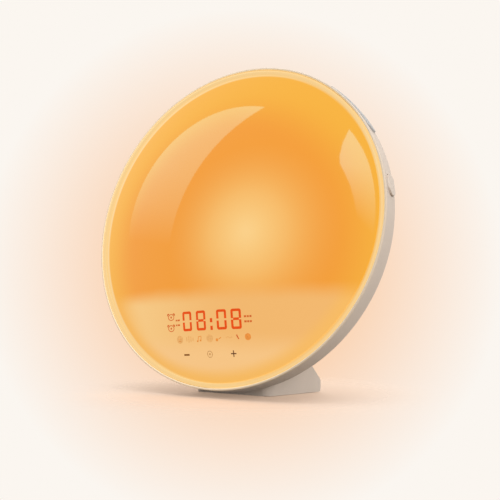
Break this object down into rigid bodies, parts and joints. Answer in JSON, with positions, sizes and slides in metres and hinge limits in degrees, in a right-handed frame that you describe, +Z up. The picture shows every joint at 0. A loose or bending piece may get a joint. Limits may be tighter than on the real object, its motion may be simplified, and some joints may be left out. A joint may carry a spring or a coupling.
{
  "type": "sunrise alarm clock",
  "caption": "Round sunrise alarm clock with a domed light panel, a clock display behind it, rim and rear keys, a speaker and a wedge foot.",
  "frame": {"origin": "centre of the anti-slip pad's underside, on the surface that the clock stands on", "axes": "+Z up, the light panel faces -Y and leans back 10 degrees, +X to the viewer's right"},
  "size_m": [0.1825, 0.0661, 0.1833],
  "materials": {
    "lamp_panel": "opal polycarbonate dome, lit orange from behind, glossy outside",
    "cream_case": "moulded ABS, warm cream, fine satin grain",
    "grey_key": "moulded ABS key, light grey, satin",
    "cream_key": "moulded ABS key, warm cream, satin",
    "rubber_pad": "dark soft pad",
    "steel": "zinc-plated steel",
    "white_plastic": "white moulded plastic",
    "white_board": "white solder mask",
    "green_board": "green solder mask",
    "led": "yellow phosphor in a white case",
    "brass": "plated contact metal",
    "black_plastic": "black moulded plastic",
    "lit_segment": "lit red-orange light bar",
    "dark_segment": "unlit light bar",
    "touch_foam": "conductive foam",
    "ribbon": "flat ribbon cable",
    "speaker_steel": "pressed steel",
    "speaker_paper": "black pressed paper cone",
    "wire_sheath": "insulated wire"
  },
  "bodies": {
    "housing": {"light_panel": "lamp_panel", "rim_band": "cream_case", "rear_shell": "cream_case", "foot": "cream_case", "foot_pad": "rubber_pad", "foot_screws": "steel", "shell_screws": "steel", "reflector_tray": "white_plastic", "tray_screws": "steel", "light_board": "white_board", "light_leds": "led", "light_board_screws": "steel", "light_pins": "brass", "display_carrier": "white_plastic", "carrier_screws": "steel", "display_board": "green_board", "display_board_screws": "steel", "display_block": "black_plastic", "lit_segments": "lit_segment", "dark_segments": "dark_segment", "touch_pads": "touch_foam", "display_ribbon": "ribbon", "main_board": "green_board", "main_board_parts": "black_plastic", "main_board_screws": "steel", "power_inlet": "black_plastic", "power_inlet_pin": "steel", "usb_socket": "steel", "usb_tongue": "white_plastic", "speaker_frame": "speaker_steel", "speaker_cone": "speaker_paper", "speaker_magnet": "speaker_steel", "speaker_gasket": "rubber_pad", "speaker_screws": "steel", "speaker_wires": "wire_sheath", "function_board": "green_board", "function_board_screws": "steel", "rear_switches": "black_plastic", "key_board": "green_board", "key_board_screws": "steel", "snooze_switch": "black_plastic", "light_switch": "black_plastic", "coin_cell": "steel", "cell_contact": "brass"},
    "snooze": {"snooze_key": "grey_key", "snooze_plunger": "black_plastic"},
    "light_toggle": {"light_key": "cream_key", "light_plunger": "black_plastic"},
    "battery_door": {"cell_door": "cream_case", "cell_door_screw": "steel"},
    "function_1": {"rear_key_1": "grey_key", "rear_plunger_1": "black_plastic"},
    "function_2": {"rear_key_2": "grey_key", "rear_plunger_2": "black_plastic"},
    "function_3": {"rear_key_3": "grey_key", "rear_plunger_3": "black_plastic"},
    "function_4": {"rear_key_4": "grey_key", "rear_plunger_4": "black_plastic"}
  },
  "joints": [
    {"name": "snooze_press", "type": "slide", "parent": "housing", "child": "snooze", "axis": [-0.7461, -0.1156, -0.6558], "range_m": [0, 0.0006], "stiffness_N_per_m": 1500, "springref_m": -0.0002},
    {"name": "light_press", "type": "slide", "parent": "housing", "child": "light_toggle", "axis": [-0.9863, -0.0287, -0.1625], "range_m": [0, 0.0006], "stiffness_N_per_m": 1500, "springref_m": -0.0002},
    {"name": "function_1_press", "type": "slide", "parent": "housing", "child": "function_1", "axis": [0, -0.9848, 0.1736], "range_m": [0, 0.0005], "stiffness_N_per_m": 1500, "springref_m": -0.0002},
    {"name": "function_2_press", "type": "slide", "parent": "housing", "child": "function_2", "axis": [0, -0.9848, 0.1736], "range_m": [0, 0.0005], "stiffness_N_per_m": 1500, "springref_m": -0.0002},
    {"name": "function_3_press", "type": "slide", "parent": "housing", "child": "function_3", "axis": [0, -0.9848, 0.1736], "range_m": [0, 0.0005], "stiffness_N_per_m": 1500, "springref_m": -0.0002},
    {"name": "function_4_press", "type": "slide", "parent": "housing", "child": "function_4", "axis": [0, -0.9848, 0.1736], "range_m": [0, 0.0005], "stiffness_N_per_m": 1500, "springref_m": -0.0002},
    {"name": "battery_door_lift", "type": "slide", "parent": "housing", "child": "battery_door", "axis": [0, 0.9848, -0.1736], "range_m": [0, 0.012]}
  ]
}
